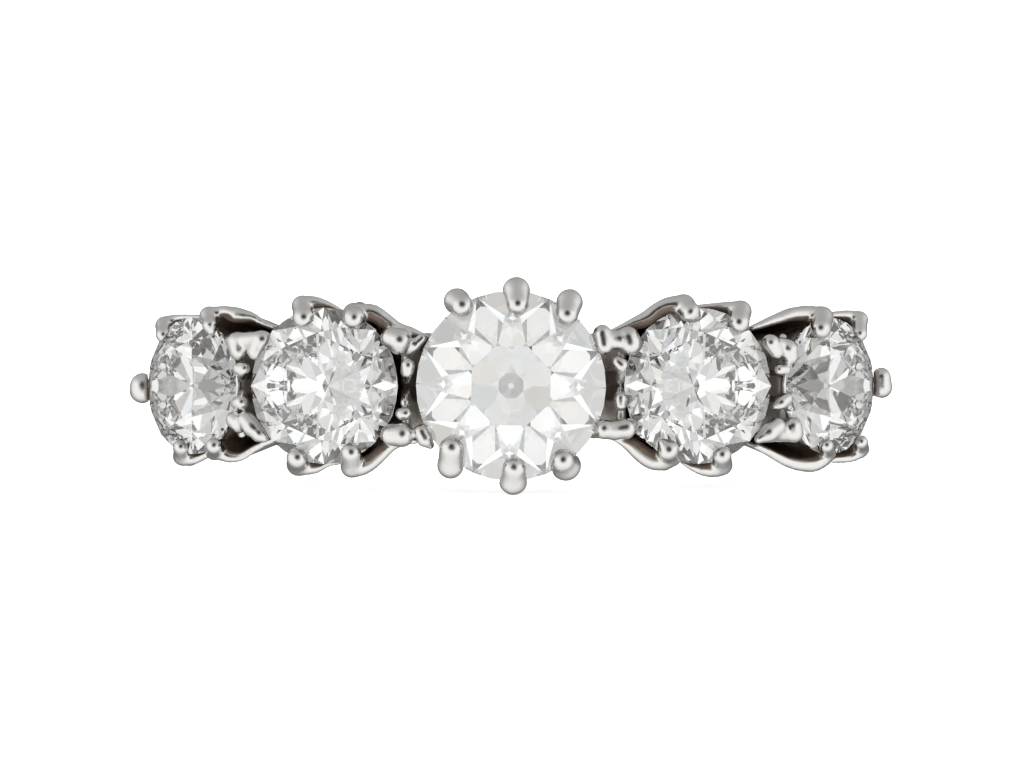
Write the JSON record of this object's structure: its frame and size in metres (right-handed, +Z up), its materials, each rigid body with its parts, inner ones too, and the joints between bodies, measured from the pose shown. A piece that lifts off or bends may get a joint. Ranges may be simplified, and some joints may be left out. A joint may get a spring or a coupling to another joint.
{
  "type": "five stone ring",
  "caption": "Finger ring with a row of graduated round stones in pierced claw collets on a tapered shank, lying on its side.",
  "frame": {"origin": "on the surface that the ring lies on, under the middle of its box", "axes": "+Z up from the surface, -Y the way the middle stone faces, +X to the right of someone who looks at that stone along +Y"},
  "size_m": [0.0218, 0.0232, 0.0062],
  "materials": {
    "white_metal": "polished white metal, darker in the hollows",
    "diamond": "clear faceted stone, near colourless with a faint warm tint"
  },
  "bodies": {
    "root": {"ring_mount": "white_metal", "centre_stone": "diamond", "inner_stone_left": "diamond", "inner_stone_right": "diamond", "outer_stone_left": "diamond", "outer_stone_right": "diamond"}
  },
  "joints": []
}
